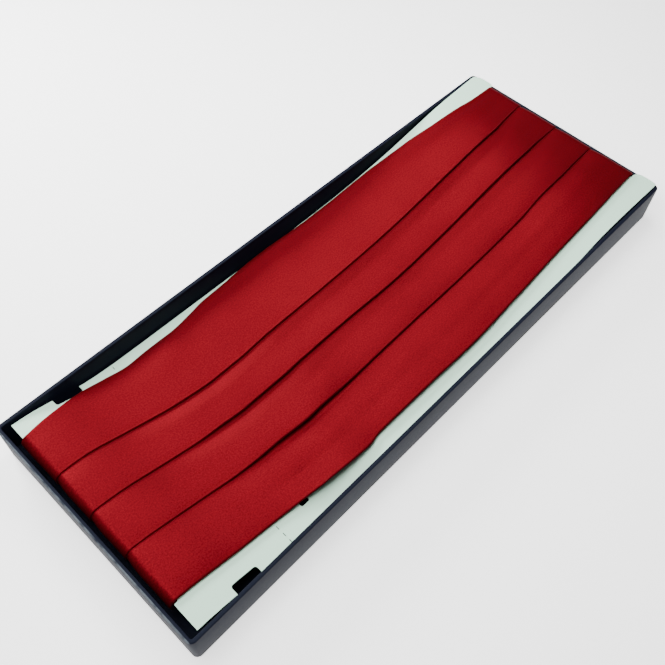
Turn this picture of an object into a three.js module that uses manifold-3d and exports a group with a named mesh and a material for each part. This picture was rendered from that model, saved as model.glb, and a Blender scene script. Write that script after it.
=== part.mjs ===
import * as THREE from 'three';
import { mergeVertices } from 'three/addons/utils/BufferGeometryUtils.js';
import Module from 'manifold-3d';

// Cummerbund wrapped round its card, lying in the open tray of its box.
// Millimetres. X runs along the box, Y across it, Z up. The origin is the
// middle of the tray's underside. The near end is at -X.

// Cummerbund
const CLOTH_HEIGHT = 116;     // across the pleats, at the middle of the front
const FRONT_RUN = 328.1;      // front between its two bends round the card
const CLOTH = 1;              // satin with its interlining
const LAYER_GAP = 0.3;        // between folded layers
const PLEAT_LAP = 8;          // how far a fold is tucked back under itself
const HEM = 10;               // turned-in edge along both long sides
const BEND_DROP = 6;          // upright stretch of cloth at each end of the card
const TUCK_LENGTH = 118;      // tapered end lying under the card
const STRAP_WIDTH = 25;
const STRAP_THICK = 1.2;
const STRAP_LAP = 14;         // strap end lying on the tapered end
const CLASP_LENGTH = 34;
const CLASP_WIDTH = 31;
const CLASP_THICK = 3.2;
const CLASP_POCKET = 9;       // depth that a strap end goes into the clasp

// Card
const CARD_THICK = 0.8;
const CARD_MARGIN = 5.6;      // card beyond the cloth's nominal height, each side
const NEAR_PROUD = 2.1;       // cloth bend standing out beyond the card's near end
const FAR_HORN = 3.7;         // card horns reaching beyond the cloth's far bend
const RECESS_GAP = 0.4;       // cloth's long edges to the sides of the recess in each end
const RECESS_CORNER = 0.8;
const HORN_CHAMFER = 3;
const NOTCH_LENGTH = 14;
const NOTCH_DEPTH = 4.6;
const NOTCH_CORNER = 1.5;
const NOTCH_FROM_END = 21;
const SLOT_LENGTH = 14;
const SLOT_WIDTH = 4.8;
const SLOT_CORNER = 0.8;
const SLOT_FROM_END = 70;
const SLOT_INSET = 8.4;       // from the card's long edge to the slot's end

// Tray
const TRAY_HEIGHT = 23.6;
const TRAY_WALL = 2;
const TRAY_FLOOR = 2;
const TRAY_CORNER = 3;
const TRAY_INNER_CORNER = 1;
const CARD_SIDE_GAP = 1.4;    // card's long edges to the tray's walls
const CARD_NEAR_GAP = 4.2;    // card's near end to the tray's wall
const CARD_RIM_LAP = 1.5;     // card's far end lying on the tray's rim

const SEAT = 0.3;             // clearance where one piece lies on another

// The front lies on the bowed card. run is the share of FRONT_RUN from the near
// bend, rise is the card's underside as a share of the height from the tray's
// floor to its seat on the rim, and the rest are places across the cloth, as
// shares of half of CLOTH_HEIGHT: its two long edges and the three pleat edges.
const FRONT = [
  { run: 0.000, rise: 0.880, far: 0.926, fold1: 0.467, fold2: 0.052, fold3: -0.362, near: -0.850 },
  { run: 0.044, rise: 0.767, far: 0.969, fold1: 0.472, fold2: 0.055, fold3: -0.364, near: -0.862 },
  { run: 0.090, rise: 0.548, far: 1.010, fold1: 0.452, fold2: 0.045, fold3: -0.376, near: -0.876 },
  { run: 0.141, rise: 0.425, far: 0.993, fold1: 0.422, fold2: 0.024, fold3: -0.391, near: -0.891 },
  { run: 0.211, rise: 0.397, far: 0.976, fold1: 0.360, fold2: 0.000, fold3: -0.434, near: -0.912 },
  { run: 0.287, rise: 0.388, far: 1.017, fold1: 0.355, fold2: -0.007, fold3: -0.450, near: -0.947 },
  { run: 0.379, rise: 0.379, far: 1.064, fold1: 0.398, fold2: -0.009, fold3: -0.436, near: -0.952 },
  { run: 0.500, rise: 0.370, far: 1.083, fold1: 0.397, fold2: -0.009, fold3: -0.424, near: -0.964 },
  { run: 0.622, rise: 0.400, far: 1.093, fold1: 0.410, fold2: 0.016, fold3: -0.419, near: -0.931 },
  { run: 0.698, rise: 0.484, far: 1.060, fold1: 0.419, fold2: 0.021, fold3: -0.417, near: -0.924 },
  { run: 0.759, rise: 0.584, far: 1.026, fold1: 0.424, fold2: 0.024, fold3: -0.424, near: -0.922 },
  { run: 0.819, rise: 0.735, far: 0.991, fold1: 0.429, fold2: 0.024, fold3: -0.431, near: -0.922 },
  { run: 0.880, rise: 0.895, far: 0.953, fold1: 0.431, fold2: 0.021, fold3: -0.436, near: -0.922 },
  { run: 0.941, rise: 0.968, far: 0.919, fold1: 0.434, fold2: 0.017, fold3: -0.438, near: -0.922 },
  { run: 1.000, rise: 0.990, far: 0.898, fold1: 0.457, fold2: 0.012, fold3: -0.417, near: -0.921 },
];
const NEAR_END_RISE = 0.895;  // card's near end
const FAR_END_RISE = 1;       // card's horns on the rim

// Each tapered end goes from its bend down to the tray's floor. reach is the
// share of TUCK_LENGTH, drop the share of the way down, and spread the share of
// the bend's width.
const TUCK = [
  { reach: 0.05, drop: 0.08, spread: 0.99 },
  { reach: 0.15, drop: 0.27, spread: 0.95 },
  { reach: 0.28, drop: 0.58, spread: 0.88 },
  { reach: 0.42, drop: 0.86, spread: 0.79 },
  { reach: 0.60, drop: 1.00, spread: 0.68 },
  { reach: 1.00, drop: 1.00, spread: 0.46 },
];

// A band of cloth comes out low from under one fold and rises to its own.
// across is the share of the free width, up the share of the rise.
const BAND = [
  { across: 0, up: 0 },
  { across: 0.35, up: 0.5 },
  { across: 0.7, up: 0.88 },
  { across: 1, up: 1 },
];

// A strap leaves the top of its tapered end for the clasp. along is the share
// of that way, drop the share of the way down to the clasp's pocket.
const STRAP = [
  { along: 0, drop: 0 },
  { along: 0.15, drop: 0.3 },
  { along: 0.35, drop: 0.85 },
  { along: 0.5, drop: 1 },
  { along: 1, drop: 1 },
];

const BEND_STEPS = 2;         // facets of each quarter bend round the card's ends

// Sizes that follow
const PITCH = CLOTH + LAYER_GAP;
const STACK = 3 * CLOTH + 2 * LAYER_GAP;
const BEND_RADIUS = SEAT + CARD_THICK / 2;
const NEAR_RECESS = BEND_RADIUS + STACK - NEAR_PROUD;
const FAR_RECESS = BEND_RADIUS + STACK + FAR_HORN;
const CARD_LENGTH = NEAR_RECESS + FRONT_RUN + FAR_RECESS;
const CARD_WIDTH = CLOTH_HEIGHT + 2 * CARD_MARGIN;
const TRAY_INNER_LENGTH = CARD_LENGTH + CARD_NEAR_GAP - CARD_RIM_LAP;
const TRAY_INNER_WIDTH = CARD_WIDTH + 2 * CARD_SIDE_GAP;
const TRAY_LENGTH = TRAY_INNER_LENGTH + 2 * TRAY_WALL;
const TRAY_WIDTH = TRAY_INNER_WIDTH + 2 * TRAY_WALL;
const CARD_NEAR_X = -TRAY_INNER_LENGTH / 2 + CARD_NEAR_GAP;
const CARD_FAR_X = CARD_NEAR_X + CARD_LENGTH;
const NEAR_BEND_X = CARD_NEAR_X + NEAR_RECESS;
const FAR_BEND_X = CARD_FAR_X - FAR_RECESS;
const FLOOR_PATH_Z = TRAY_FLOOR + SEAT + STACK;

const wasm = await Module();
wasm.setup();

function mix(a, b, share) {
  return a + (b - a) * share;
}

// The card's underside at a share of the height up to its seat on the rim.
function cardUnderside(rise) {
  return mix(TRAY_FLOOR, TRAY_HEIGHT + SEAT, rise);
}

function toManifold(geometry) {
  const plain = geometry.index ? geometry.toNonIndexed() : geometry.clone();
  plain.deleteAttribute('normal');
  plain.deleteAttribute('uv');
  const merged = mergeVertices(plain, 1e-4);
  return new wasm.Manifold(new wasm.Mesh({
    numProp: 3,
    vertProperties: new Float32Array(merged.attributes.position.array),
    triVerts: new Uint32Array(merged.index.array),
  }));
}

function fromManifold(solid) {
  const mesh = solid.getMesh();
  const geometry = new THREE.BufferGeometry();
  geometry.setAttribute('position', new THREE.BufferAttribute(mesh.vertProperties, 3));
  geometry.setIndex(new THREE.BufferAttribute(mesh.triVerts, 1));
  return geometry;
}

// A flat plan in X and Y, raised from one height to another.
function prism(plan, low, high) {
  const solid = new THREE.ExtrudeGeometry(plan, {
    depth: high - low,
    bevelEnabled: false,
    curveSegments: 4,
  });
  solid.translate(0, 0, low);
  return solid;
}

function rounded(lengthX, widthY, radius, centreX = 0, centreY = 0) {
  const x = lengthX / 2 - radius;
  const y = widthY / 2 - radius;
  const plan = new THREE.Shape();
  plan.absarc(centreX + x, centreY + y, radius, 0, Math.PI / 2);
  plan.absarc(centreX - x, centreY + y, radius, Math.PI / 2, Math.PI);
  plan.absarc(centreX - x, centreY - y, radius, Math.PI, 1.5 * Math.PI);
  plan.absarc(centreX + x, centreY - y, radius, 1.5 * Math.PI, 2 * Math.PI);
  return plan;
}

function polygon(points) {
  return new THREE.Shape(points.map(([x, y]) => new THREE.Vector2(x, y)));
}

// A side view in X and Z, swept across Y about its middle.
function acrossY(points, width) {
  const solid = new THREE.ExtrudeGeometry(polygon(points), { depth: width, bevelEnabled: false });
  solid.rotateX(Math.PI / 2);
  solid.translate(0, width / 2, 0);
  return solid;
}

function buildTray() {
  const shell = toManifold(prism(rounded(TRAY_LENGTH, TRAY_WIDTH, TRAY_CORNER), 0, TRAY_HEIGHT));
  const hollow = toManifold(prism(
    rounded(TRAY_INNER_LENGTH, TRAY_INNER_WIDTH, TRAY_INNER_CORNER),
    TRAY_FLOOR,
    TRAY_HEIGHT + TRAY_WALL,
  ));
  return fromManifold(shell.subtract(hollow));
}

// Places along the card with the height of its underside, end to end.
function cardStations() {
  return [
    { x: CARD_NEAR_X, z: cardUnderside(NEAR_END_RISE) },
    ...FRONT.map((row) => ({
      x: mix(NEAR_BEND_X, FAR_BEND_X, row.run),
      z: cardUnderside(row.rise),
    })),
    { x: CARD_FAR_X - CARD_RIM_LAP - SEAT, z: cardUnderside(FAR_END_RISE) },
    { x: CARD_FAR_X, z: cardUnderside(FAR_END_RISE) },
  ];
}

// Places across the cloth of its long edges and pleat edges, in one table row.
function edgesOf(row) {
  const half = CLOTH_HEIGHT / 2;
  return [row.far, row.fold1, row.fold2, row.fold3, row.near].map((share) => share * half);
}

function buildCard() {
  const stations = cardStations();
  const under = stations.map(({ x, z }) => [x, z]);
  const over = stations.map(({ x, z }) => [x, z + CARD_THICK]).reverse();
  let card = toManifold(acrossY([...under, ...over], CARD_WIDTH));

  const high = 2 * TRAY_HEIGHT;
  const half = CARD_WIDTH / 2;
  const recess = (row, depth, x) => {
    const cloth = edgesOf(row);
    const [from, to] = [cloth[cloth.length - 1] - RECESS_GAP, cloth[0] + RECESS_GAP];
    return rounded(2 * depth, to - from, RECESS_CORNER, x, (from + to) / 2);
  };
  const notchX = CARD_NEAR_X + NOTCH_FROM_END + NOTCH_LENGTH / 2;
  const slotX = CARD_NEAR_X + SLOT_FROM_END;
  const slotY = -half + SLOT_INSET + SLOT_LENGTH / 2;
  const cuts = [
    recess(FRONT[0], NEAR_RECESS, CARD_NEAR_X),
    recess(FRONT[FRONT.length - 1], FAR_RECESS, CARD_FAR_X),
    rounded(SLOT_WIDTH, SLOT_LENGTH, SLOT_CORNER, slotX, slotY),
  ];
  for (const side of [-1, 1]) {
    const edge = side * half;
    cuts.push(rounded(NOTCH_LENGTH, 2 * NOTCH_DEPTH, NOTCH_CORNER, notchX, edge));
    cuts.push(polygon([
      [CARD_FAR_X - HORN_CHAMFER, edge + side],
      [CARD_FAR_X + 1, edge + side],
      [CARD_FAR_X + 1, edge - side * HORN_CHAMFER],
      [CARD_FAR_X, edge - side * HORN_CHAMFER],
      [CARD_FAR_X - HORN_CHAMFER, edge],
    ]));
  }
  for (const cut of cuts) {
    card = card.subtract(toManifold(prism(cut, 0, high)));
  }
  return fromManifold(card);
}

// Middle line of the folded cloth at one station, as points with the direction
// to the cloth's left face. y is across the cloth and h is out from the card.
function foldedLine(edges, spread) {
  const lap = PLEAT_LAP * spread;
  const hem = HEM * spread;
  const low = CLOTH / 2;
  const middle = low + PITCH;
  const top = middle + PITCH;
  const turn = PITCH / 2;
  const outer = turn + CLOTH / 2;
  const line = [];
  const put = (y, h, ny, nh) => line.push({ y, h, ny, nh });

  // side is +1 where the fold's tip points to +Y; inner is +1 where the
  // cloth's left face is inside the fold
  const fold = (tip, side, from, to, inner) => {
    const centre = tip - side * outer;
    const h = (from + to) / 2;
    const rise = Math.sign(to - from);
    for (const angle of [-90, -30, 30, 90]) {
      const a = THREE.MathUtils.degToRad(angle);
      const ry = side * Math.cos(a);
      const rh = rise * Math.sin(a);
      put(centre + turn * ry, h + turn * rh, -inner * ry, -inner * rh);
    }
  };
  const band = (fromY, fromH, toY, toH, first, last) => {
    for (const { across, up } of BAND.slice(first, last)) {
      put(mix(fromY, toY, across), mix(fromH, toH, up), 0, -1);
    }
  };

  put(edges[0] - hem, low, 0, 1);
  fold(edges[0], 1, low, middle, 1);
  band(edges[0] - outer, middle, edges[1] + lap + SEAT, top, 1, 4);
  for (let i = 1; i < edges.length - 1; i += 1) {
    const isLast = i === edges.length - 2;
    const next = edges[i + 1];
    fold(edges[i], -1, top, middle, 1);
    fold(edges[i] + lap, 1, middle, low, -1);
    const toY = (isLast ? next + hem : next + lap) + SEAT;
    band(edges[i] - SEAT, low, toY, isLast ? middle : top, 0, 4);
  }
  const end = edges[edges.length - 1];
  fold(end, -1, middle, low, 1);
  put(end + hem - SEAT, low, 0, 1);
  return line;
}

// Closed outline of the folded cloth's cut face.
function foldedOutline(edges, spread) {
  const line = foldedLine(edges, spread);
  const face = (sign) => line.map(({ y, h, ny, nh }) => [
    y + sign * ny * CLOTH / 2,
    h + sign * nh * CLOTH / 2,
  ]);
  return [...face(1), ...face(-1).reverse()];
}

// Stations round the whole cloth, from the near tapered end over the card to the
// far one. Each has a place on the cloth's inner face, the direction outwards and
// the edges across it.
function clothStations() {
  const out = (dx, dz) => {
    const length = Math.hypot(dx, dz);
    return { nx: -dz / length, nz: dx / length };
  };
  const card = cardStations().slice(1, 1 + FRONT.length);
  const front = FRONT.map((row, i) => {
    const before = card[Math.max(i - 1, 0)];
    const after = card[Math.min(i + 1, card.length - 1)];
    const { nx, nz } = out(after.x - before.x, after.z - before.z);
    const lift = SEAT + CARD_THICK;
    return {
      x: card[i].x + nx * SEAT,
      z: card[i].z + lift,
      nx,
      nz,
      edges: edgesOf(row),
      spread: 1,
    };
  });

  const tuck = (side) => {
    const end = side < 0 ? front[0] : front[front.length - 1];
    const bend = side < 0 ? card[0] : card[card.length - 1];
    const startZ = bend.z - SEAT - BEND_DROP;
    const path = TUCK.map(({ reach, drop, spread }) => ({
      x: bend.x - side * reach * TUCK_LENGTH,
      z: mix(startZ, FLOOR_PATH_Z, drop),
      edges: end.edges.map((y) => y * spread),
      spread,
    }));
    const lower = path.map((place, i) => {
      const before = path[Math.max(i - 1, 0)];
      const after = path[Math.min(i + 1, path.length - 1)];
      return { ...place, ...out(side * (after.x - before.x), side * (after.z - before.z)) };
    });
    const arc = (from, to, centreZ, firstStep) => {
      const places = [];
      for (let step = firstStep; step <= BEND_STEPS; step += 1) {
        const angle = mix(from, to, step / BEND_STEPS);
        const nx = Math.cos(angle);
        const nz = Math.sin(angle);
        places.push({
          x: bend.x + BEND_RADIUS * nx,
          z: centreZ + BEND_RADIUS * nz,
          nx,
          nz,
          edges: end.edges,
          spread: 1,
        });
      }
      return places;
    };
    const upward = Math.atan2(end.nz, end.nx);
    const sideways = side < 0 ? Math.PI : 0;
    const downward = Math.atan2(lower[0].nz, lower[0].nx) + 2 * sideways;
    const cardMiddle = bend.z + CARD_THICK / 2;
    return [
      ...arc(upward, sideways, cardMiddle, 1),
      ...arc(sideways, downward, cardMiddle - BEND_DROP, 0),
      ...lower,
    ];
  };
  return [...tuck(-1).reverse(), ...front, ...tuck(1)];
}

// A closed skin over equal rings of points, with both end faces filled.
function loft(rings, capOutlines) {
  const count = rings[0].length;
  const positions = rings.flat(2);
  const index = [];
  for (let i = 0; i < rings.length - 1; i += 1) {
    for (let j = 0; j < count; j += 1) {
      const k = (j + 1) % count;
      const a = i * count + j;
      const b = i * count + k;
      const c = (i + 1) * count + k;
      const d = (i + 1) * count + j;
      index.push(a, c, b, a, d, c);
    }
  }
  const [first, last] = capOutlines.map((outline) => (
    outline.map(([y, h]) => new THREE.Vector2(y, h))
  ));
  const lastRing = (rings.length - 1) * count;
  for (const [a, b, c] of THREE.ShapeUtils.triangulateShape(first, [])) {
    index.push(a, c, b);
  }
  for (const [a, b, c] of THREE.ShapeUtils.triangulateShape(last, [])) {
    index.push(lastRing + a, lastRing + b, lastRing + c);
  }
  const geometry = new THREE.BufferGeometry();
  geometry.setAttribute('position', new THREE.Float32BufferAttribute(positions, 3));
  geometry.setIndex(index);
  return geometry;
}

function buildPleatedFront() {
  const stations = clothStations();
  const outlines = stations.map(({ edges, spread }) => foldedOutline(edges, spread));
  const rings = stations.map(({ x, z, nx, nz }, i) => outlines[i].map(([y, h]) => [
    x + nx * h,
    y,
    z + nz * h,
  ]));
  return loft(rings, [outlines[0], outlines[outlines.length - 1]]);
}

// A strap from on top of a tapered end, down to the clasp's pocket.
function buildStrap(side) {
  const bend = side < 0 ? NEAR_BEND_X : FAR_BEND_X;
  const tuckEnd = bend - side * TUCK_LENGTH;
  const claspEnd = side * (CLASP_LENGTH / 2 - CLASP_POCKET + SEAT);
  const lowZ = TRAY_FLOOR + SEAT + (CLASP_THICK - STRAP_THICK) / 2;
  const highZ = FLOOR_PATH_Z + SEAT;
  const path = [
    [tuckEnd + side * STRAP_LAP, highZ],
    ...STRAP.map(({ along, drop }) => [
      mix(tuckEnd, claspEnd, along),
      mix(highZ, lowZ, drop),
    ]),
  ];
  const over = path.map(([x, z]) => [x, z + STRAP_THICK]).reverse();
  return acrossY([...path, ...over], STRAP_WIDTH);
}

function buildClasp() {
  const low = TRAY_FLOOR + SEAT;
  let clasp = toManifold(prism(rounded(CLASP_LENGTH, CLASP_WIDTH, CLASP_THICK), low, low + CLASP_THICK));
  const pocketLow = low + (CLASP_THICK - STRAP_THICK) / 2 - SEAT;
  for (const side of [-1, 1]) {
    const pocket = rounded(
      2 * CLASP_POCKET,
      STRAP_WIDTH + 2 * SEAT,
      SEAT,
      side * CLASP_LENGTH / 2,
    );
    clasp = clasp.subtract(toManifold(prism(pocket, pocketLow, pocketLow + STRAP_THICK + 2 * SEAT)));
  }
  return fromManifold(clasp);
}

const CLOTH_RED = { color: 0xa41a20, roughness: 0.7, metalness: 0 };
const CARD_WHITE = { color: 0xdfe3da, roughness: 0.75, metalness: 0 };
const TRAY_NAVY = { color: 0x11151f, roughness: 0.55, metalness: 0 };
const STRAP_RED = { color: 0x8a161b, roughness: 0.8, metalness: 0 };
const CLASP_BLACK = { color: 0x1a1a1c, roughness: 0.4, metalness: 0 };

function piece(name, geometry, finish) {
  const mesh = new THREE.Mesh(geometry, new THREE.MeshStandardMaterial(finish));
  mesh.name = name;
  return mesh;
}

const cummerbund = new THREE.Group();
cummerbund.add(
  piece('pleated_front', buildPleatedFront(), CLOTH_RED),
  piece('near_strap', buildStrap(-1), STRAP_RED),
  piece('far_strap', buildStrap(1), STRAP_RED),
  piece('clasp', buildClasp(), CLASP_BLACK),
);

const holder = new THREE.Group();
holder.add(
  piece('card', buildCard(), CARD_WHITE),
  piece('tray', buildTray(), TRAY_NAVY),
);

const boxed = new THREE.Group();
boxed.add(cummerbund, holder);

export default boxed;
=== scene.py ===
# %% [markdown]
# # A cummerbund on its card, in an open box tray
# The object is a pleated satin cummerbund wrapped round a white card. The card
# is bowed and lies in the tray of its box, with its far end up on the rim.
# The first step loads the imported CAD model, which is the frame that every piece
# here is built in: metres, with the origin at the middle of the tray's underside.

# %% Load the frame
import math

import bmesh
import bpy
import numpy as np
from mathutils import Matrix, Vector


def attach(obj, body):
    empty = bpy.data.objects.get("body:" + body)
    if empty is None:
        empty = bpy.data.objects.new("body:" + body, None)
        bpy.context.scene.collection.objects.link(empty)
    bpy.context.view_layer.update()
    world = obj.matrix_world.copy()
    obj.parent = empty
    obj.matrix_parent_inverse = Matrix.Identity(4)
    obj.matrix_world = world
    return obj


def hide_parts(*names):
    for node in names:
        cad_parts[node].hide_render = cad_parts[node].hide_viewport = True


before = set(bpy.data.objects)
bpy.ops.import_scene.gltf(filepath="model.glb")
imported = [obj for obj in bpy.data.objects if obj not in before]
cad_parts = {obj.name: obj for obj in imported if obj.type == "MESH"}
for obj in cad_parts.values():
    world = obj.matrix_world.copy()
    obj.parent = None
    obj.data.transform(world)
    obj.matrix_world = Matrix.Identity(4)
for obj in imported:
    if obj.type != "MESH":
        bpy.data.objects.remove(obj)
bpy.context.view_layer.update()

MM = 0.001
print("CAD nodes:", sorted(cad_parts))

# %% [markdown]
# ## Camera
# The photograph was taken from above the near corner, with a short lens, so the
# near end looks wider than the far one. The place, the three turns and the lens
# come from matching the tray's edges, so they are given as they were found.

# %% Camera
CAMERA_PLACE = Vector((-191.9, -148.5, 353.3)) * MM
HEADING, PITCH_DOWN, ROLL = (math.radians(a) for a in (41.362, 56.561, 3.039))
LENS, SENSOR = 43.80, 36.0

ahead = Vector((
    math.cos(HEADING) * math.cos(PITCH_DOWN),
    math.sin(HEADING) * math.cos(PITCH_DOWN),
    -math.sin(PITCH_DOWN),
))
level_right = Vector((math.sin(HEADING), -math.cos(HEADING), 0))
level_up = level_right.cross(ahead)
right = level_right * math.cos(ROLL) + level_up * math.sin(ROLL)
up = level_up * math.cos(ROLL) - level_right * math.sin(ROLL)

camera = bpy.data.objects.new("camera", bpy.data.cameras.new("camera"))
bpy.context.scene.collection.objects.link(camera)
camera.matrix_world = Matrix.Translation(CAMERA_PLACE) @ Matrix((right, up, -ahead)).transposed().to_4x4()
camera.data.lens, camera.data.sensor_width = LENS, SENSOR
camera.data.clip_start, camera.data.clip_end = 0.01, 20
bpy.context.scene.camera = camera
print("camera looks down", round(math.degrees(PITCH_DOWN), 1), "degrees")

# %% [markdown]
# ## Shared helpers
# A table in this script holds a few measured places, and a soft curve is drawn
# through them. The curve never swings above or below two neighbouring points,
# so cloth and card have no ripples that the table doesn't ask for.

# %% Soft curve through a table
def soft_curve(at, places, values):
    places, values = np.asarray(places, float), np.asarray(values, float)
    step = np.diff(places)
    rise = np.diff(values) / step
    slope = np.concatenate([rise[:1], np.zeros(len(rise) - 1), rise[-1:]])
    same_way = rise[:-1] * rise[1:] > 0
    total = np.where(same_way, rise[:-1] + rise[1:], 1)
    slope[1:-1] = np.where(same_way, 2 * rise[:-1] * rise[1:] / total, 0)
    at = np.clip(at, places[0], places[-1])
    i = np.clip(np.searchsorted(places, at) - 1, 0, len(step) - 1)
    u = (at - places[i]) / step[i]
    return (
        values[i] * (1 + 2 * u) * (1 - u) ** 2
        + values[i + 1] * u ** 2 * (3 - 2 * u)
        + step[i] * u * (1 - u) * (slope[i] * (1 - u) - slope[i + 1] * u)
    )


# %% Make an object from a bmesh
def finished(name, bm, material_slot, *nodes):
    mesh = bpy.data.meshes.new(name)
    bm.to_mesh(mesh)
    bm.free()
    piece = bpy.data.objects.new(name, mesh)
    bpy.context.scene.collection.objects.link(piece)
    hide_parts(*nodes)
    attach(piece, "root")
    print(name, "has", len(mesh.polygons), "faces before its modifiers")
    return piece


def smooth_by_angle(piece, degrees):
    piece.data.shade_smooth()
    piece.data.set_sharp_from_angle(angle=math.radians(degrees))


# %% [markdown]
# ## The tray
# The tray is stiff board wrapped in dark paper. The paper softens every edge, so
# a block is hollowed with an inset and an extrusion, and then its edges are
# rounded with a bevel. The block's four upright corners are rounded first: the
# inset then gives the inner corners their smaller radius by itself. Five plain
# boards would make a tray too, but they would show seams that wrapped paper hides.

# %% Tray
TRAY_LENGTH, TRAY_WIDTH, TRAY_HEIGHT = 345, 134, 23.6
TRAY_WALL, TRAY_FLOOR = 2, 2
TRAY_CORNER = 3
TRAY_EDGE = 0.45


def tray_shape():
    bm = bmesh.new()
    size = Matrix.Diagonal((TRAY_LENGTH, TRAY_WIDTH, TRAY_HEIGHT, 1))
    bmesh.ops.create_cube(bm, size=1, matrix=Matrix.Translation((0, 0, TRAY_HEIGHT / 2)) @ size)
    upright = [e for e in bm.edges if abs(e.verts[0].co.z - e.verts[1].co.z) > TRAY_FLOOR]
    bmesh.ops.bevel(bm, geom=upright, offset=TRAY_CORNER, segments=8, affect="EDGES",
                    profile=0.5, material=-1)
    top = max(bm.faces, key=lambda f: f.calc_center_median().z)
    bmesh.ops.inset_region(bm, faces=[top], thickness=TRAY_WALL, use_even_offset=True)
    down = bmesh.ops.extrude_face_region(bm, geom=[top])
    bmesh.ops.delete(bm, geom=[top], context="FACES_ONLY")
    floor_verts = [v for v in down["geom"] if isinstance(v, bmesh.types.BMVert)]
    bmesh.ops.translate(bm, verts=floor_verts, vec=(0, 0, TRAY_FLOOR - TRAY_HEIGHT))
    bmesh.ops.recalc_face_normals(bm, faces=bm.faces)
    rims = [e for e in bm.edges if len(e.link_faces) == 2 and e.calc_face_angle() > math.radians(60)]
    bmesh.ops.bevel(bm, geom=rims, offset=TRAY_EDGE, segments=3, affect="EDGES",
                    profile=0.5, material=-1)
    bmesh.ops.scale(bm, vec=(MM, MM, MM), verts=bm.verts)
    return bm


tray = finished("tray_board", tray_shape(), "tray", "tray")
smooth_by_angle(tray, 40)

# %% [markdown]
# ## The card
# A real card is die-cut flat and bowed afterwards, and this one is made in the
# same order. A thin block has its recesses, notches, slot and perforation punched
# out with booleans, and the two horns left at the far end get their rounded
# corners. It is then cut into narrow strips, so that it can bend, and each point
# is raised to the bow's height. The far end is a little wider, as in the photo.
# Bending the plain block first would turn every punched edge out of true.

# %% Card sizes
CARD_NEAR_X, CARD_FAR_X = -166.3, 172.2
CARD_HALF = 63.6
FAR_HALF, WIDENS_FROM = 64.8, 120
CARD_THICK = 0.8
NEAR_BEND, FAR_BEND = -164.1, 166.2
CARD_STRIP = 2.0
NOTCH_X, NOTCH_LENGTH, NOTCH_CORNER = -138.3, 14, 1.5
NEAR_NOTCH_DEPTH, FAR_NOTCH_DEPTH = 4.6, 3.7
SLOT_X, SLOT_WIDTH, SLOT_LENGTH, SLOT_END, SLOT_CORNER = -96.3, 4.8, 14, -54.0, 0.8
CREASE_X, PERFORATION, PERFORATION_PITCH, PERFORATION_WIDTH = -113, 2.0, 4.1, 0.45
RECESS_GAP, RECESS_CORNER = 0.4, 0.8
CUT_STEPS = 5
# place across and radius of each corner of the two far horns
HORN_CORNERS = [(-CARD_HALF, 2.0), (-51.4, 4.8), (52.2, 1.6), (CARD_HALF, 4.0)]

# x along the card, and the height of its top face, which is averaged over the
# steps of BOW_BLEND because stiff card bends evenly
BOW_BLEND = (-8, -4, 0, 4, 8)
BOW = np.array([
    (-166, 22.4), (-164, 22.1), (-150, 19.6), (-135, 14.8), (-118, 12.1), (-95, 11.5),
    (-70, 11.3), (-40, 11.1), (0, 10.9), (40, 11.6), (65, 13.4), (85, 15.6), (105, 18.9),
    (125, 22.4), (145, 24.0), (166, 24.5), (170, 24.7), (172, 24.7),
])

# x along the front, then the places across it of the far edge, the three pleat
# lines and the near edge
CLOTH_LINES = np.array([
    (-165, 54.0, 28.0, 4.0, -20.0, -49.0),
    (-150, 57.0, 28.5, 4.0, -20.5, -49.5),
    (-132, 59.5, 27.5, 3.5, -21.0, -50.0),
    (-120, 58.5, 26.0, 2.5, -22.0, -50.5),
    (-108, 57.0, 24.0, 1.0, -23.5, -51.5),
    (-96, 57.5, 22.5, 0.0, -24.5, -53.0),
    (-84, 57.5, 21.5, -1.0, -25.0, -55.0),
    (-66, 59.5, 21.5, -1.0, -26.5, -56.0),
    (-57, 61.0, 22.0, -1.0, -26.0, -56.0),
    (-48, 61.5, 22.5, -0.5, -26.0, -54.5),
    (-12, 63.5, 23.0, 0.0, -25.0, -54.5),
    (20, 62.5, 23.5, -0.5, -24.5, -55.0),
    (60, 62.5, 24.5, 0.5, -24.5, -53.5),
    (100, 59.5, 25.5, 1.5, -24.5, -52.5),
    (120, 56.0, 25.5, 1.5, -23.5, -52.5),
    (140, 53.5, 25.5, 1.5, -23.5, -52.0),
    (150, 52.0, 26.5, 2.0, -23.0, -51.5),
    (167, 51.0, 28.0, 2.0, -22.5, -51.0),
])


def card_top(x):
    return np.mean([soft_curve(x + shift, BOW[:, 0], BOW[:, 1]) for shift in BOW_BLEND], axis=0)


print("bow:", round(BOW[:, 1].max() - BOW[:, 1].min(), 1), "mm deep")


# %% Card cuts
def punch(length, width, corner, centre_x, centre_y):
    bm = bmesh.new()
    size = Matrix.Diagonal((length, width, 4 * CARD_THICK, 1))
    bmesh.ops.create_cube(bm, size=1, matrix=Matrix.Translation((centre_x, centre_y, 0)) @ size)
    if corner:
        upright = [e for e in bm.edges if abs(e.verts[0].co.z - e.verts[1].co.z) > CARD_THICK]
        bmesh.ops.bevel(bm, geom=upright, offset=corner, segments=CUT_STEPS, affect="EDGES",
                        profile=0.5, material=-1)
    return bm


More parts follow.
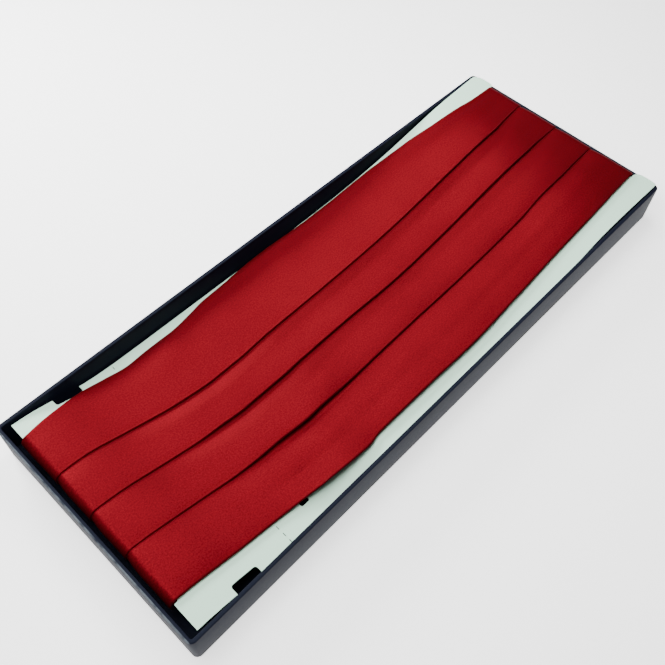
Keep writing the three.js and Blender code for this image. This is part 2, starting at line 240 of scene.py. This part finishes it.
def all_punches():
    near, far = CLOTH_LINES[0], CLOTH_LINES[-1]
    cuts = []
    for row, end_x, bend_x in ((near, CARD_NEAR_X, NEAR_BEND), (far, CARD_FAR_X, FAR_BEND)):
        width = row[1] - row[5] + 2 * RECESS_GAP
        middle = (row[1] + row[5]) / 2
        cuts.append(punch(2 * abs(end_x - bend_x), width, RECESS_CORNER, end_x, middle))
    cuts.append(punch(SLOT_WIDTH, SLOT_LENGTH, SLOT_CORNER, SLOT_X, SLOT_END + SLOT_LENGTH / 2))
    for side, depth in ((-1, NEAR_NOTCH_DEPTH), (1, FAR_NOTCH_DEPTH)):
        cuts.append(punch(NOTCH_LENGTH, 2 * depth, NOTCH_CORNER, NOTCH_X, side * CARD_HALF))
    count = int(2 * CARD_HALF / PERFORATION_PITCH)
    for i in range(count):
        y = (i - (count - 1) / 2) * PERFORATION_PITCH
        cuts.append(punch(PERFORATION_WIDTH, PERFORATION, 0, CREASE_X, y))
    joined = bmesh.new()
    for cut in cuts:
        mesh = bpy.data.meshes.new("cut")
        cut.to_mesh(mesh)
        cut.free()
        joined.from_mesh(mesh)
        bpy.data.meshes.remove(mesh)
    return joined


def punched(blank, cuts):
    holders = []
    for name, bm in (("blank", blank), ("cuts", cuts)):
        mesh = bpy.data.meshes.new(name)
        bm.to_mesh(mesh)
        bm.free()
        holders.append(bpy.data.objects.new(name, mesh))
        bpy.context.scene.collection.objects.link(holders[-1])
    cut = holders[0].modifiers.new("cut", "BOOLEAN")
    cut.operation, cut.solver, cut.object = "DIFFERENCE", "EXACT", holders[1]
    seen = holders[0].evaluated_get(bpy.context.evaluated_depsgraph_get())
    bm = bmesh.new()
    bm.from_mesh(seen.to_mesh())
    for holder in holders:
        bpy.data.objects.remove(holder)
    return bm


# %% Card
def card_shape():
    blank = bmesh.new()
    middle = ((CARD_NEAR_X + CARD_FAR_X) / 2, 0, -CARD_THICK / 2)
    size = Matrix.Diagonal((CARD_FAR_X - CARD_NEAR_X, 2 * CARD_HALF, CARD_THICK, 1))
    bmesh.ops.create_cube(blank, size=1, matrix=Matrix.Translation(middle) @ size)
    bm = punched(blank, all_punches())
    for y, radius in HORN_CORNERS:
        corner = [e for e in bm.edges if all(v.co.x > CARD_FAR_X - 0.01 for v in e.verts)
                  and all(abs(v.co.y - y) < 2 for v in e.verts)]
        bmesh.ops.bevel(bm, geom=corner, offset=radius, segments=CUT_STEPS, affect="EDGES",
                        profile=0.5, material=-1)
    for x in np.arange(CARD_NEAR_X + CARD_STRIP, CARD_FAR_X, CARD_STRIP):
        geom = bm.verts[:] + bm.edges[:] + bm.faces[:]
        bmesh.ops.bisect_plane(bm, geom=geom, dist=1e-4, plane_co=(x, 0, 0), plane_no=(1, 0, 0))
    for v in bm.verts:
        v.co.z += card_top(v.co.x)
        wider = soft_curve(v.co.x, [WIDENS_FROM, CARD_FAR_X], [0, FAR_HALF - CARD_HALF])
        v.co.y += math.copysign(wider, v.co.y) if abs(v.co.y) > CARD_HALF - 1 else 0
    bmesh.ops.scale(bm, vec=(MM, MM, MM), verts=bm.verts)
    return bm


card = finished("bowed_card", card_shape(), "card", "card")
smooth_by_angle(card, 30)
low, high = (round(f(v.co.z for v in card.data.vertices) / MM, 1) for f in (min, max))
print("card lies between", low, "and", high, "mm")

# %% [markdown]
# ## The pleated cloth
# The front is one sheet: it is folded into four bands, carried over the card,
# bent round both card ends and laid underneath, where it tapers to the strap.
# It starts as a flat grid of its cut size. Each point then moves to its folded
# place, which a side view along the cloth and a folded line across it give
# together. The flat place stays in the UV map, so the weave follows each fold.
# A cloth simulation could fold it as well, but the photograph already fixes where
# each fold lies, and a simulation would have to be steered there.

# %% Side view of the cloth
CLOTH = 0.5
SEAT = 0.3
BEND_RADIUS = 2.4
BEND_DROP = 5
LOWER_BEND_RADIUS = 2.5
TUCK_LENGTH = 118
FRONT_STEP, TUCK_STEPS = 2.2, 40
TUCK_OPEN = 2.2
FLOOR_PATH = TRAY_FLOOR + SEAT + CLOTH + TUCK_OPEN

# reach along the tapered end, its way down to the floor and its width, as shares
TUCK = np.array([
    (0.015, 0.00, 1.00), (0.05, 0.05, 0.99), (0.15, 0.25, 0.95), (0.28, 0.58, 0.88),
    (0.42, 0.86, 0.79), (0.60, 1.00, 0.68), (1.00, 1.00, 0.46),
])


def arc(centre_x, centre_z, radius, start, stop, steps):
    angle = np.radians(np.linspace(start, stop, steps))
    return [(centre_x + radius * math.cos(a), centre_z + radius * math.sin(a)) for a in angle]


def tapered_end(side, bend_x):
    """Side view from the upper bend to the end under the card, with the width's share."""
    middle = float(card_top(bend_x)) + SEAT - BEND_RADIUS
    lower_z = middle - BEND_DROP + LOWER_BEND_RADIUS
    upper = arc(bend_x, middle, BEND_RADIUS, 80, 0, 8)
    upright = [(bend_x + BEND_RADIUS, z) for z in np.linspace(middle, lower_z, 4)[1:-1]]
    lower = arc(bend_x + BEND_RADIUS - LOWER_BEND_RADIUS, lower_z, LOWER_BEND_RADIUS, 0, -84, 7)
    bends = [(bend_x + side * (x - bend_x), z, 1.0) for x, z in upper + upright + lower]
    reach = np.linspace(TUCK[0, 0], 1, TUCK_STEPS)[1:]
    start_z = lower_z - LOWER_BEND_RADIUS
    z = start_z + (FLOOR_PATH - start_z) * soft_curve(reach, TUCK[:, 0], TUCK[:, 1])
    spread = soft_curve(reach, TUCK[:, 0], TUCK[:, 2])
    x = bend_x - side * reach * TUCK_LENGTH
    return np.array(bends + list(zip(x, z, spread)))


def side_view():
    front_x = np.linspace(NEAR_BEND, FAR_BEND, int((FAR_BEND - NEAR_BEND) / FRONT_STEP))
    front = np.column_stack([front_x, card_top(front_x) + SEAT, np.ones_like(front_x)])
    near, far = tapered_end(-1, NEAR_BEND), tapered_end(1, FAR_BEND)
    path = np.vstack([near[::-1], front, far])
    ahead_of = np.gradient(path[:, :2], axis=0)
    ahead_of /= np.linalg.norm(ahead_of, axis=1)[:, None]
    outward = np.column_stack([-ahead_of[:, 1], ahead_of[:, 0]])
    run = np.concatenate([[0], np.cumsum(np.linalg.norm(np.diff(path[:, :2], axis=0), axis=1))])
    return path, outward, run


path, outward, run = side_view()
print("the cloth is", round(run[-1]), "mm long, in", len(path), "steps")

# %% [markdown]
# ## The folded line across the cloth
# Each pleat is a fold to the near side, a lap back under itself and a second fold
# that lets the next band out. Pressed flat, a pleat is three layers of cloth. In
# the middle of the front the pleats stand open and show a soft shadow, and close
# to the card's ends they are pressed thin, so a table says how open each is.

# %% Folded line
PLEAT_LAP = 8
HEM = 10
HEM_OPEN = 1.2
BAND_POINTS, FOLD_POINTS = 17, 7

# x along the front, how far the layers of each pleat stand apart, and how late a
# band rises: below 1 it is full height at once, above 1 it stays low for long
PLEAT_OPEN = np.array([
    (-166, 1.0, 1.0, 1.0, 0.25),
    (-150, 1.1, 1.1, 1.1, 0.5),
    (-120, 1.2, 1.2, 1.2, 1.0),
    (-95, 1.4, 2.0, 2.3, 1.3),
    (-64, 1.4, 2.2, 3.3, 1.2),
    (-40, 1.4, 2.0, 2.3, 1.0),
    (0, 1.4, 1.9, 1.7, 0.8),
    (65, 1.6, 1.8, 1.5, 0.8),
    (105, 1.9, 2.1, 1.5, 1.2),
    (134, 2.0, 2.0, 1.4, 1.4),
    (157, 1.2, 1.2, 1.2, 0.6),
    (167, 1.0, 1.0, 1.0, 0.25),
])
BAND_CROWN = 0.5


def half_turn(tip, side, from_h, to_h):
    """A fold whose outer face reaches tip; side is +1 where it points to the far edge."""
    angle = np.radians(np.linspace(-90, 90, FOLD_POINTS))
    radius = abs(to_h - from_h) / 2
    centre = tip - side * (radius + CLOTH / 2)
    y = centre + side * radius * np.cos(angle)
    h = (from_h + to_h) / 2 + (to_h - from_h) / 2 * np.sin(angle)
    return list(zip(y, h))


def flat_run(from_y, to_y, h):
    return [(from_y + (to_y - from_y) * u, h) for u in (0.33, 0.67)]


def band(from_y, from_h, to_y, to_h, late):
    """A visible band: low where it comes out of one fold, and rising to the next."""
    u = np.linspace(0, 1, BAND_POINTS)[1:-1]
    ease = np.sin(u * math.pi / 2) ** late
    h = from_h + (to_h - from_h) * ease + BAND_CROWN * min(late, 1) * np.sin(u * math.pi) ** 2
    return list(zip(from_y + (to_y - from_y) * u, h))


def folded_line(lines, opens, late, spread):
    low = CLOTH / 2
    lap, hem = PLEAT_LAP * spread, HEM * spread
    far, near = lines[0], lines[-1]
    points = [(far - hem, low)] + flat_run(far - hem, far - 1, low)
    points += half_turn(far, 1, low, low + HEM_OPEN)
    from_y, from_h = far - HEM_OPEN / 2 - CLOTH / 2, low + HEM_OPEN
    for line, opened in zip(lines[1:-1], opens):
        middle, top = low + opened / 2, low + opened
        points += band(from_y, from_h, line + lap, top, late)
        points += half_turn(line, -1, top, middle)
        points += flat_run(line + 1, line + lap - 1, middle)
        points += half_turn(line + lap, 1, middle, low)
        points += flat_run(line + lap - 1, line, low)
        from_y, from_h = line - CLOTH / 2, low
    points += band(from_y, from_h, near + hem, low + HEM_OPEN, late)
    points += half_turn(near, -1, low + HEM_OPEN, low)
    points += flat_run(near + 1, near + hem, low) + [(near + hem, low)]
    return np.array(points[::-1])


sample = folded_line(CLOTH_LINES[10, 1:], PLEAT_OPEN[6, 1:4], PLEAT_OPEN[6, 4], 1)
width = np.linalg.norm(np.diff(sample, axis=0), axis=1).sum()
print("folded line:", len(sample), "points,", round(width), "mm of cloth")

# %% [markdown]
# ## Small waves
# Where the card dips, the spare length of the cloth stands up in a few shallow
# waves, and the near edge lifts off the card. Each is one row of a table: its
# place, its height, and how far it reaches along and across. A height below zero
# is a dip. Smooth bumps that fade out can be added up without a seam.

# %% Waves
WAVES = [
    # x, y, height, reach along, reach across
    (-68, -38, 1.4, 11, 12),
    (-86, -45, -0.7, 9, 5),
    (-81, -58, 4.0, 18, 9),
    (10, -58, 1.5, 110, 9),
    (-50, -54, -0.5, 7, 5),
    (-46, -15, 0.9, 10, 8),
    (-88, 49, 0.8, 10, 9),
    (-73, 52, -0.4, 7, 6),
]


def wave_height(x, y):
    return sum(
        height * np.exp(-((x - wave_x) / along) ** 2 - ((y - wave_y) / across) ** 2)
        for wave_x, wave_y, height, along, across in WAVES
    )


# %% Cloth
def cloth_points():
    at = np.clip(path[:, 0], NEAR_BEND, FAR_BEND)
    is_front = path[:, 1] > np.array(card_top(at)) - 0.01
    near_half = np.arange(len(path)) < len(path) / 2
    at = np.where(is_front, at, np.where(near_half, NEAR_BEND, FAR_BEND))
    lines = np.column_stack([soft_curve(at, CLOTH_LINES[:, 0], CLOTH_LINES[:, k]) for k in range(1, 6)])
    opens = np.column_stack([soft_curve(at, PLEAT_OPEN[:, 0], PLEAT_OPEN[:, k]) for k in range(1, 5)])
    places, flat = [], []
    for i, (x, z, spread) in enumerate(path):
        # once the end tapers, all its pleats lie open alike
        under = soft_curve(spread, [0.9, 1.0], [1.0, 0.0])
        opened = opens[i, :3] + (TUCK_OPEN - opens[i, :3]) * under
        line = folded_line(lines[i] * spread, opened, opens[i, 3], spread)
        y, h = line[:, 0], line[:, 1].copy()
        if is_front[i]:
            h += wave_height(x, y)
        places.append(np.column_stack([x + outward[i, 0] * h, y, z + outward[i, 1] * h]))
        across = np.concatenate([[0], np.cumsum(np.linalg.norm(np.diff(line, axis=0), axis=1))])
        flat.append(np.column_stack([np.full(len(across), run[i]), across - across[-1] / 2]))
    return np.array(places) * MM, np.array(flat) * MM


def cloth_shape(places, flat):
    steps, points = places.shape[:2]
    bm = bmesh.new()
    bmesh.ops.create_grid(bm, x_segments=steps - 1, y_segments=points - 1, size=0.5)
    uv = bm.loops.layers.uv.new("flat cloth")
    row_of = {}
    for v in bm.verts:
        row_of[v] = (round((v.co.x + 0.5) * (steps - 1)), round((v.co.y + 0.5) * (points - 1)))
    for face in bm.faces:
        for loop in face.loops:
            loop[uv].uv = flat[row_of[loop.vert]]
    for v, place in row_of.items():
        v.co = places[place]
    return bm


places, flat = cloth_points()
cloth = finished("pleated_satin", cloth_shape(places, flat), "satin", "pleated_front")
cloth.data.shade_smooth()
wall = cloth.modifiers.new("cloth thickness", "SOLIDIFY")
wall.thickness, wall.offset = CLOTH * MM, 0
flat_widths = flat[:, -1, 1] - flat[:, 0, 1]
flat_area = float(((flat_widths[1:] + flat_widths[:-1]) / 2 * np.diff(flat[:, 0, 0])).sum())
print("flat cloth:", round(float(flat_widths.max()), 3), "by", round(run[-1] * MM, 3), "m,",
      round(flat_area, 4), "square metres")

# %% [markdown]
# ## Strap and clasp
# They lie under the card, where the photograph doesn't reach, so they are plain:
# a woven strap from each tapered end, and one small plate that joins them. Each
# strap is a flat grid that a route lowers into the clasp. The plate needs no new
# shape, so it is the CAD node itself with its edges rounded.

# %% Straps
STRAP_WIDTH, STRAP_THICK, SELVEDGE = 25, 1.2, 0.3
STRAP_LAP, STRAP_LENGTH = 14, 53
CLASP_LENGTH, CLASP_THICK, CLASP_POCKET, CLASP_EDGE = 34, 3.2, 9, 0.15
TUCK_END = 46
# share of the way to the clasp, and share of the way down into its pocket
STRAP_ROUTE = np.array([(-0.4, 0.0), (0.0, 0.0), (0.2, 0.2), (0.5, 1.0), (1.0, 1.0)])


def strap_shape(side):
    bm = bmesh.new()
    bmesh.ops.create_grid(bm, x_segments=40, y_segments=8, size=0.5)
    uv = bm.loops.layers.uv.new("flat cloth")
    start_x, end_x = side * TUCK_END, side * (CLASP_LENGTH / 2 - CLASP_POCKET + SEAT)
    high_z = FLOOR_PATH + SEAT + STRAP_THICK / 2
    low_z = TRAY_FLOOR + SEAT + CLASP_THICK / 2
    along_from = -STRAP_LAP / abs(end_x - start_x)
    for face in bm.faces:
        for loop in face.loops:
            loop[uv].uv = (loop.vert.co.x * STRAP_LENGTH * MM, loop.vert.co.y * STRAP_WIDTH * MM)
    for v in bm.verts:
        along = along_from + (1 - along_from) * (v.co.x + 0.5)
        drop = float(soft_curve(along, STRAP_ROUTE[:, 0], STRAP_ROUTE[:, 1]))
        x = start_x + (end_x - start_x) * along
        v.co = Vector((x, side * v.co.y * -STRAP_WIDTH, high_z + (low_z - high_z) * drop)) * MM
    bmesh.ops.recalc_face_normals(bm, faces=bm.faces)
    return bm


straps = []
for side, node in ((-1, "near_strap"), (1, "far_strap")):
    strap = finished(node + "_woven", strap_shape(side), "strap", node)
    strap.data.shade_smooth()
    wall = strap.modifiers.new("strap thickness", "SOLIDIFY")
    wall.thickness, wall.offset = STRAP_THICK * MM, 0
    edge = strap.modifiers.new("soft selvedge", "BEVEL")
    edge.width, edge.segments, edge.limit_method = SELVEDGE * MM, 2, "ANGLE"
    straps.append(strap)


# %% Clasp
def clasp_shape():
    bm = bmesh.new()
    bm.from_mesh(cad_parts["clasp"].data)
    bmesh.ops.remove_doubles(bm, verts=bm.verts, dist=0.01 * MM)
    bmesh.ops.dissolve_limit(bm, angle_limit=math.radians(1), verts=bm.verts, edges=bm.edges)
    for layer in list(bm.loops.layers.uv):
        bm.loops.layers.uv.remove(layer)
    sharp = [e for e in bm.edges if len(e.link_faces) == 2 and e.calc_face_angle() > math.radians(40)]
    bmesh.ops.bevel(bm, geom=sharp, offset=CLASP_EDGE * MM, segments=2, affect="EDGES",
                    profile=0.5, material=-1)
    return bm


clasp = finished("clasp_plate", clasp_shape(), "clasp", "clasp")
smooth_by_angle(clasp, 40)

# %% [markdown]
# ## Finishes
# Shader maths reads best as plain expressions. A Wire holds one socket, and each
# operator on it adds a Math node. Every other node comes from Finish.node, which
# sets the node's options first and then its sockets. Coordinates are in metres, so
# a noise of scale 1000 has features of about a millimetre.

# %% Wire and Finish
class Wire:
    def __init__(self, finish, socket):
        self.finish, self.socket = finish, socket

    def maths(self, operation, *others):
        node = self.finish.node("ShaderNodeMath", {"operation": operation},
                                **{str(i): v for i, v in enumerate((self, *others))})
        return Wire(self.finish, node.outputs[0])

    def __add__(self, other):
        return self.maths("ADD", other)

    def __sub__(self, other):
        return self.maths("SUBTRACT", other)

    def __mul__(self, other):
        return self.maths("MULTIPLY", other)

    def __rsub__(self, other):
        return self * -1 + other

    __radd__, __rmul__ = __add__, __mul__

    def wave(self, period):
        """A sine of this wire with the given period, from 0 to 1."""
        return (self * (2 * math.pi / period)).maths("SINE") * 0.5 + 0.5

    def between(self, low, high):
        """0 below low, 1 above high, and a straight ramp between."""
        node = self.finish.node("ShaderNodeMapRange", {"clamp": True},
                                **{"Value": self, "From Min": low, "From Max": high})
        return Wire(self.finish, node.outputs[0])


class Finish:
    def __init__(self, name):
        self.material = bpy.data.materials.new(name)
        self.material.use_nodes = True
        self.tree = self.material.node_tree
        self.tree.nodes.clear()
        self.surface = self.node("ShaderNodeBsdfPrincipled")
        out = self.node("ShaderNodeOutputMaterial")
        self.tree.links.new(self.surface.outputs[0], out.inputs["Surface"])

    def node(self, kind, options=None, **sockets):
        node = self.tree.nodes.new(kind)
        for name, value in (options or {}).items():
            setattr(node, name, value)
        for name, value in sockets.items():
            self.set(node, int(name) if name.isdigit() else name, value)
        return node

    def set(self, node, name, value):
        if isinstance(value, Wire):
            self.tree.links.new(value.socket, node.inputs[name])
        else:
            node.inputs[name].default_value = value

    def wire(self, node, output=0):
        return Wire(self, node.outputs[output])

    def noise(self, place, scale, detail=2.0, roughness=0.5):
        node = self.node("ShaderNodeTexNoise", **{"Vector": place, "Scale": scale, "Detail": detail,
                                                  "Roughness": roughness})
        return self.wire(node)

    def blend(self, share, first, second):
        node = self.node("ShaderNodeMix", {"data_type": "RGBA"}, **{"0": share, "6": first, "7": second})
        return self.wire(node, 2)

    def bump(self, height, distance, strength):
        node = self.node("ShaderNodeBump", **{"Height": height, "Distance": distance,
                                              "Strength": strength})
        return self.wire(node)

    def shade(self, **sockets):
        for name, value in sockets.items():
            self.set(self.surface, name.replace("_", " "), value)

    def dress(self, *pieces):
        for piece in pieces:
            piece.data.materials.clear()
            piece.data.materials.append(self.material)
        print(self.material.name, "has", len(self.tree.nodes), "nodes, on", [p.name for p in pieces])


def colour(red, green, blue):
    return (red, green, blue, 1.0)


# %% [markdown]
# ## Matt satin
# Satin is smooth because its threads float over several others, and here it is
# dull and even, with a fine speckle. The threads are two sine waves on the flat
# cloth, because a picture of cloth would bring its own light and repeat. The
# speckle is noise about a millimetre across, which mixes two reds.
# Satin shines in its own colour, as metal does, so the finish is partly metallic,
# and what clear reflection is left is weak and tinted red.

# %% Satin
THREAD, THREAD_RELIEF = 0.32 * MM, 0.06 * MM
SPECKLES, CLOUDS = 1300, 30
RED_DEEP, RED_LIGHT = colour(0.080, 0.0020, 0.0042), colour(0.155, 0.0047, 0.0093)

satin = Finish("matt_satin")
flat_place = satin.wire(satin.node("ShaderNodeUVMap", {"uv_map": "flat cloth"}))
parts = satin.node("ShaderNodeSeparateXYZ", **{"Vector": flat_place})
along, across = satin.wire(parts, 0), satin.wire(parts, 1)
weave = (along + across * 0.4).wave(THREAD) * across.wave(THREAD * 1.6)
speckle = satin.noise(flat_place, SPECKLES, roughness=0.6)
clouds = satin.noise(flat_place, CLOUDS)
shade = speckle.between(0.34, 0.66) * 0.75 + clouds.between(0.3, 0.7) * 0.15 + weave * 0.1
satin.shade(
    Base_Color=satin.blend(shade, RED_DEEP, RED_LIGHT),
    Roughness=0.45 + speckle * 0.12,
    Metallic=0.62,
    Normal=satin.bump(weave * 0.6 + speckle * 0.4, THREAD_RELIEF, 0.6),
    Specular_IOR_Level=0.08, Specular_Tint=colour(0.5, 0.16, 0.18),
)
satin.dress(cloth)

# %% [markdown]
# ## Strap weave, clasp and card
# The strap is ribbed, so two sine waves on its flat place make the ribs. The clasp
# is plain black plastic and the card plain uncoated board: noise on the object's
# own coordinates gives each a fine grain, in colour and in bump.

# %% Strap finish
RIB, RIB_ACROSS, RIB_RELIEF = 1.1 * MM, 0.9 * MM, 0.2 * MM
STRAP_DEEP, STRAP_LIGHT = colour(0.20, 0.005, 0.008), colour(0.30, 0.010, 0.014)

strap_finish = Finish("woven_strap")
strap_place = strap_finish.wire(strap_finish.node("ShaderNodeUVMap", {"uv_map": "flat cloth"}))
parts = strap_finish.node("ShaderNodeSeparateXYZ", **{"Vector": strap_place})
ribs = strap_finish.wire(parts, 0).wave(RIB) * strap_finish.wire(parts, 1).wave(RIB_ACROSS)
strap_finish.shade(
    Base_Color=strap_finish.blend(ribs, STRAP_DEEP, STRAP_LIGHT),
    Roughness=0.75 + ribs * 0.1,
    Normal=strap_finish.bump(ribs, RIB_RELIEF, 0.7),
)
strap_finish.dress(*straps)

# %% Clasp finish
CLASP_GRAINS, CLASP_RELIEF = 2500, 0.03 * MM
CLASP_DEEP, CLASP_LIGHT = colour(0.010, 0.010, 0.012), colour(0.016, 0.016, 0.018)

clasp_finish = Finish("black_clasp")
place = clasp_finish.wire(clasp_finish.node("ShaderNodeTexCoord"), "Object")
grain = clasp_finish.noise(place, CLASP_GRAINS)
clasp_finish.shade(
    Base_Color=clasp_finish.blend(grain, CLASP_DEEP, CLASP_LIGHT),
    Roughness=0.35 + grain * 0.15,
    Normal=clasp_finish.bump(grain, CLASP_RELIEF, 0.5),
)
clasp_finish.dress(clasp)

# %% Card finish
CARD_FIBRES, CARD_CLOUDS, CARD_RELIEF = 1400, 18, 0.04 * MM
CARD_DEEP, CARD_LIGHT = colour(0.52, 0.79, 0.61), colour(0.58, 0.85, 0.67)

card_finish = Finish("white_card")
place = card_finish.wire(card_finish.node("ShaderNodeTexCoord"), "Object")
fibre = card_finish.noise(place, CARD_FIBRES, detail=4.0, roughness=0.6)
tone = card_finish.noise(place, CARD_CLOUDS)
card_finish.shade(
    Base_Color=card_finish.blend(tone * 0.6 + fibre * 0.4, CARD_DEEP, CARD_LIGHT),
    Roughness=0.62 + fibre * 0.12,
    Normal=card_finish.bump(fibre, CARD_RELIEF, 0.5),
)
card_finish.dress(card)

# %% [markdown]
# ## Tray paper
# The navy paper is made pale along the upper outer edge of the tray's two short
# ends. This pale line is partly worn paper and partly a painted highlight, which
# stands in for the light that the rounded rim catches. Its mask is worked out from
# the place on the tray: close below the rim and close in from an end. Noise makes
# it come and go.

# %% Tray paper
PAPER_FIBRES, PAPER_CLOUDS, PAPER_RELIEF = 900, 25, 0.06 * MM
PAPER_DEEP, PAPER_LIGHT = colour(0.0050, 0.0058, 0.0125), colour(0.0100, 0.0110, 0.0240)
# the pale line on the short ends' top edge: worn paper and a painted rim highlight
RUBBED_HIGHLIGHT_WIDTH, RUBBED_HIGHLIGHT_PATCHES, RUBBED_HIGHLIGHT_SHARPNESS, RUBBED_HIGHLIGHT_SHARE = 0.8 * MM, 220, 4, 0.8
RUBBED_HIGHLIGHT_PALE = colour(0.12, 0.14, 0.16)

tray_finish = Finish("navy_paper")
place = tray_finish.wire(tray_finish.node("ShaderNodeTexCoord"), "Object")
parts = tray_finish.node("ShaderNodeSeparateXYZ", **{"Vector": place})
in_from_end = TRAY_LENGTH / 2 * MM - tray_finish.wire(parts, 0).maths("ABSOLUTE")
below_rim = TRAY_HEIGHT * MM - tray_finish.wire(parts, 2)
on_edge = (1 - in_from_end.between(0, RUBBED_HIGHLIGHT_WIDTH)) * (1 - below_rim.between(0, RUBBED_HIGHLIGHT_WIDTH))
patchy = tray_finish.noise(place, RUBBED_HIGHLIGHT_PATCHES, detail=3.0).between(0.25, 0.55)
rubbed_highlight = (on_edge * RUBBED_HIGHLIGHT_SHARPNESS).between(0, 1) * patchy * RUBBED_HIGHLIGHT_SHARE

fibre = tray_finish.noise(place, PAPER_FIBRES, detail=4.0, roughness=0.6)
tone = tray_finish.noise(place, PAPER_CLOUDS, detail=3.0)
paper = tray_finish.blend(tone * 0.5 + fibre * 0.5, PAPER_DEEP, PAPER_LIGHT)
tray_finish.shade(
    # the base colour turns pale where the painted rim highlight lies
    Base_Color=tray_finish.blend(rubbed_highlight, paper, RUBBED_HIGHLIGHT_PALE),
    Roughness=0.46 + fibre * 0.16,
    Normal=tray_finish.bump(fibre, PAPER_RELIEF, 0.5),
    Specular_IOR_Level=0.05, Specular_Tint=colour(0.80, 1.0, 0.85),
)
tray_finish.dress(tray)

# %% [markdown]
# ## Floor and light
# The photograph has an even white ground and soft light. A wide pale floor that
# glows a little and a dim sky all round give the ground. Three soft lamps light
# the cloth: one overhead near the near end, one low from the far long side, which
# gives pleats and waves their shading, and one that makes the middle shine.

# %% Floor and sky
FLOOR_SIZE, FLOOR_GLOW, SKY_GLOW = 4, 1.6, 0.12

floor_bm = bmesh.new()
bmesh.ops.create_grid(floor_bm, x_segments=1, y_segments=1, size=FLOOR_SIZE)
floor_mesh = bpy.data.meshes.new("floor")
floor_bm.to_mesh(floor_mesh)
floor_bm.free()
floor = bpy.data.objects.new("floor", floor_mesh)
bpy.context.scene.collection.objects.link(floor)
floor_finish = Finish("pale_floor")
floor_finish.shade(Base_Color=colour(0.9, 0.9, 0.9), Roughness=0.9,
                   Emission_Color=colour(1, 1, 1), Emission_Strength=FLOOR_GLOW)
floor_finish.dress(floor)

world = bpy.data.worlds.new("studio")
bpy.context.scene.world = world
world.use_nodes = True
world.node_tree.nodes["Background"].inputs["Color"].default_value = colour(1, 1, 1)
world.node_tree.nodes["Background"].inputs["Strength"].default_value = SKY_GLOW

# %% Lamps
# name, place, aim, size and power of each lamp
LAMPS = [
    ("overhead", (-0.22, 0.02, 0.52), (0, 0, 0), 0.30, 3.0),
    ("side_left", (-0.08, 0.44, 0.27), (0, 0, 0), 0.20, 4.4),
    ("middle", (0.15, 0.12, 0.37), (0.05, 0, 0), 0.24, 1.9),
]
for name, stands, aim, size, power in LAMPS:
    light = bpy.data.lights.new(name, "AREA")
    light.shape, light.size, light.energy = "DISK", size, power
    holder = bpy.data.objects.new(name, light)
    holder.location = stands
    holder.rotation_mode = "QUATERNION"
    holder.rotation_quaternion = (Vector(aim) - Vector(stands)).to_track_quat("-Z", "Y")
    bpy.context.scene.collection.objects.link(holder)
